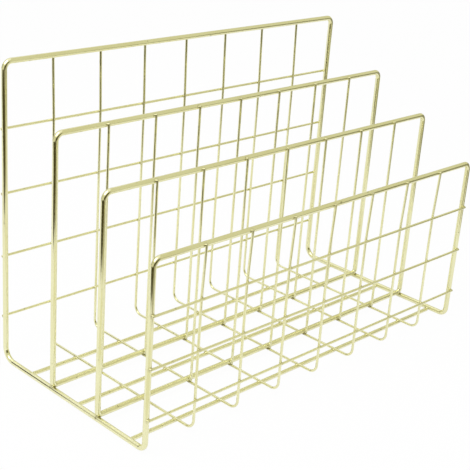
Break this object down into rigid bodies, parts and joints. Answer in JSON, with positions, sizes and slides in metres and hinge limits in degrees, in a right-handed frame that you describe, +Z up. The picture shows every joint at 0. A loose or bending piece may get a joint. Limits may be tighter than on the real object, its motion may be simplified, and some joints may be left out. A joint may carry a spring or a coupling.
{
  "type": "letter rack",
  "caption": "Free-standing desktop letter rack of welded wire, with mesh panels stepped down from back to front and open slots between them for letters and folders.",
  "frame": {"origin": "on the table, under the middle of the rack's outline", "axes": "+X along the panels, +Y from the low front panel towards the tall back panel, +Z up"},
  "size_m": [0.3198, 0.1558, 0.2159],
  "materials": {
    "plated_wire": "bright pale-gold plating over steel wire"
  },
  "bodies": {
    "root": {"back_level_wire_1": "plated_wire", "back_level_wire_2": "plated_wire", "back_level_wire_3": "plated_wire", "back_level_wire_4": "plated_wire", "base_brace_1": "plated_wire", "base_brace_2": "plated_wire", "base_brace_3": "plated_wire", "front_divider_frame": "plated_wire", "front_divider_wire_1": "plated_wire", "front_divider_wire_2": "plated_wire", "front_divider_wire_3": "plated_wire", "front_divider_wire_4": "plated_wire", "front_divider_wire_5": "plated_wire", "front_divider_wire_6": "plated_wire", "front_divider_wire_7": "plated_wire", "front_level_wire_1": "plated_wire", "front_level_wire_2": "plated_wire", "front_level_wire_3": "plated_wire", "mesh_wire_1": "plated_wire", "mesh_wire_2": "plated_wire", "mesh_wire_3": "plated_wire", "mesh_wire_4": "plated_wire", "mesh_wire_5": "plated_wire", "mesh_wire_6": "plated_wire", "mesh_wire_7": "plated_wire", "outer_frame": "plated_wire", "rear_divider_frame": "plated_wire", "rear_divider_wire_1": "plated_wire", "rear_divider_wire_2": "plated_wire", "rear_divider_wire_3": "plated_wire", "rear_divider_wire_4": "plated_wire", "rear_divider_wire_5": "plated_wire", "rear_divider_wire_6": "plated_wire", "rear_divider_wire_7": "plated_wire"}
  },
  "joints": []
}
